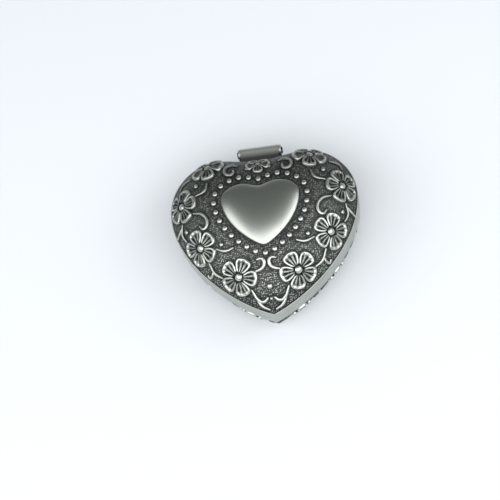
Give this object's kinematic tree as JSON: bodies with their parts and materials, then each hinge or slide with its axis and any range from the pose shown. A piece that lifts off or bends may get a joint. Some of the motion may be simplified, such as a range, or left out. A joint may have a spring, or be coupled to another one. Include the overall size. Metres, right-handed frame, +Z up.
{
  "type": "trinket box",
  "caption": "Heart-shaped cast trinket box with a domed relief lid on a barrel hinge and a padded velvet inside.",
  "frame": {"origin": "on the felt underside, below the centre of the heart", "axes": "+Z up, -Y to the point of the heart, +Y to the hinge, +X across the lobes"},
  "size_m": [0.07, 0.0696, 0.0378],
  "materials": {
    "pewter": "antiqued cast zinc or pewter, dark in the ground and rubbed bright on the relief",
    "hinge_metal": "brushed",
    "card": "grey board",
    "foam": "soft foam",
    "velvet": "short-pile velvet",
    "felt": "pressed felt"
  },
  "bodies": {
    "bowl": {"base_shell": "pewter", "hinge_bracket": "hinge_metal", "hinge_pin": "hinge_metal", "base_side_velvet": "velvet", "base_card": "card", "base_foam": "foam", "base_velvet": "velvet", "base_felt": "felt"},
    "lid": {"lid_shell": "pewter", "hinge_knuckle": "hinge_metal", "lid_card": "card", "lid_foam": "foam", "lid_velvet": "velvet"}
  },
  "joints": [
    {"name": "lid_hinge", "type": "hinge", "parent": "bowl", "child": "lid", "pos_m": [0, 0.0246, 0.0186], "axis": [-1, 0, 0], "range_deg": [0, 100]}
  ]
}
